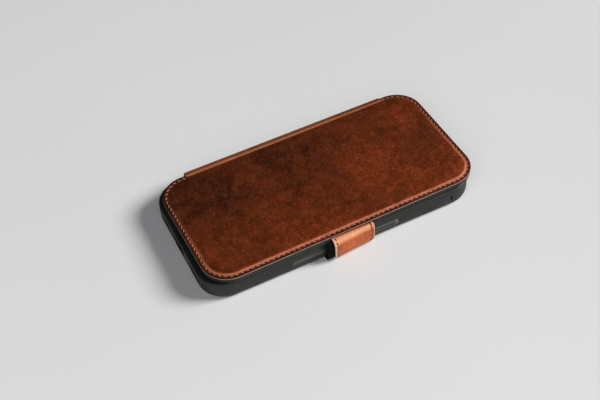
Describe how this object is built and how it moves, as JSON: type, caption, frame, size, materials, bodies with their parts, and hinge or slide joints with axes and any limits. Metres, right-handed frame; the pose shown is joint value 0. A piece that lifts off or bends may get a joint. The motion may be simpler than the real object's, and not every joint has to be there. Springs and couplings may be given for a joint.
{
  "type": "phone case",
  "caption": "Leather folio case for a phone: soft bumper tray, hinged spine and stitched padded cover with card pockets, closed by a magnetic side strap.",
  "frame": {"origin": "centre of the case's flat back face, which lies on the table", "axes": "+X towards the phone's right-hand side with the strap and power button, +Y towards the phone's top, +Z out through the front cover"},
  "size_m": [0.0823, 0.1538, 0.0153],
  "materials": {
    "cognac_leather": "burnished full-grain leather, waxed, semi-gloss",
    "tan_leather": "natural leather with bare tan edges, satin",
    "black_lining": "smooth black lining, matte",
    "microfibre": "brushed microfibre",
    "bumper_rubber": "fine matte moulded elastomer",
    "button_rubber": "matte moulded elastomer",
    "shell_plastic": "fine matte",
    "bezel_metal": "black anodised, satin",
    "magnet": "nickel plated",
    "steel": "thin sheet, plain",
    "board": "pressed fibre board",
    "foam": "thin foam sheet",
    "copper_thread": "waxed polyester thread",
    "brown_thread": "waxed polyester thread"
  },
  "bodies": {
    "tray": {"bumper": "bumper_rubber", "back_plate": "shell_plastic", "tray_lining": "microfibre", "back_leather": "cognac_leather", "back_stitching": "copper_thread", "camera_bezel": "bezel_metal", "magnet_ring": "magnet", "magnet_ring_shield": "steel", "alignment_magnet": "magnet", "strap_root_leather": "tan_leather", "strap_root_lining": "black_lining", "strap_root_stitching": "brown_thread"},
    "power_button": {"power_button": "button_rubber"},
    "volume_up_button": {"volume_up_button": "button_rubber"},
    "volume_down_button": {"volume_down_button": "button_rubber"},
    "spine": {"spine_leather": "cognac_leather", "spine_stiffener": "board", "spine_lining": "black_lining"},
    "cover": {"cover_leather": "cognac_leather", "cover_foam": "foam", "cover_board": "board", "cover_catch_plate": "steel", "cover_lining": "black_lining", "cover_stitching": "copper_thread", "card_pocket_front": "cognac_leather", "card_pocket_rear": "black_lining", "card_pocket_stitching": "copper_thread"},
    "strap_loop": {"strap_loop_leather": "tan_leather", "strap_loop_lining": "black_lining", "strap_loop_stitching": "brown_thread"},
    "strap_tip": {"strap_tip_leather": "tan_leather", "strap_tip_lining": "black_lining", "strap_tip_stitching": "brown_thread", "strap_magnet": "magnet"}
  },
  "joints": [
    {"name": "spine_fold", "type": "hinge", "parent": "tray", "child": "spine", "pos_m": [-0.0389, 0.002, 0.0014], "axis": [0, -1, 0], "range_deg": [0, 90]},
    {"name": "cover_fold", "type": "hinge", "parent": "spine", "child": "cover", "pos_m": [-0.0389, 0.002, 0.0124], "axis": [0, -1, 0], "range_deg": [0, 88]},
    {"name": "strap_swing", "type": "hinge", "parent": "tray", "child": "strap_loop", "pos_m": [0.0419, 0.0026, 0.00525], "axis": [0, 1, 0], "range_deg": [0, 88]},
    {"name": "strap_tip_fold", "type": "hinge", "parent": "strap_loop", "child": "strap_tip", "pos_m": [0.03775, 0.0026, 0.01285], "axis": [0, 1, 0], "range_deg": [0, 70.4]},
    {"name": "power_press", "type": "slide", "parent": "tray", "child": "power_button", "axis": [-1, 0, 0], "range_m": [0, 0.00035], "stiffness_N_per_m": 900},
    {"name": "volume_up_press", "type": "slide", "parent": "tray", "child": "volume_up_button", "axis": [1, 0, 0], "range_m": [0, 0.00035], "stiffness_N_per_m": 900},
    {"name": "volume_down_press", "type": "slide", "parent": "tray", "child": "volume_down_button", "axis": [1, 0, 0], "range_m": [0, 0.00035], "stiffness_N_per_m": 900}
  ],
  "couplings": [
    {"joint": "strap_swing", "follows": "cover_fold", "ratio": 1},
    {"joint": "strap_tip_fold", "follows": "cover_fold", "ratio": 0.8}
  ]
}
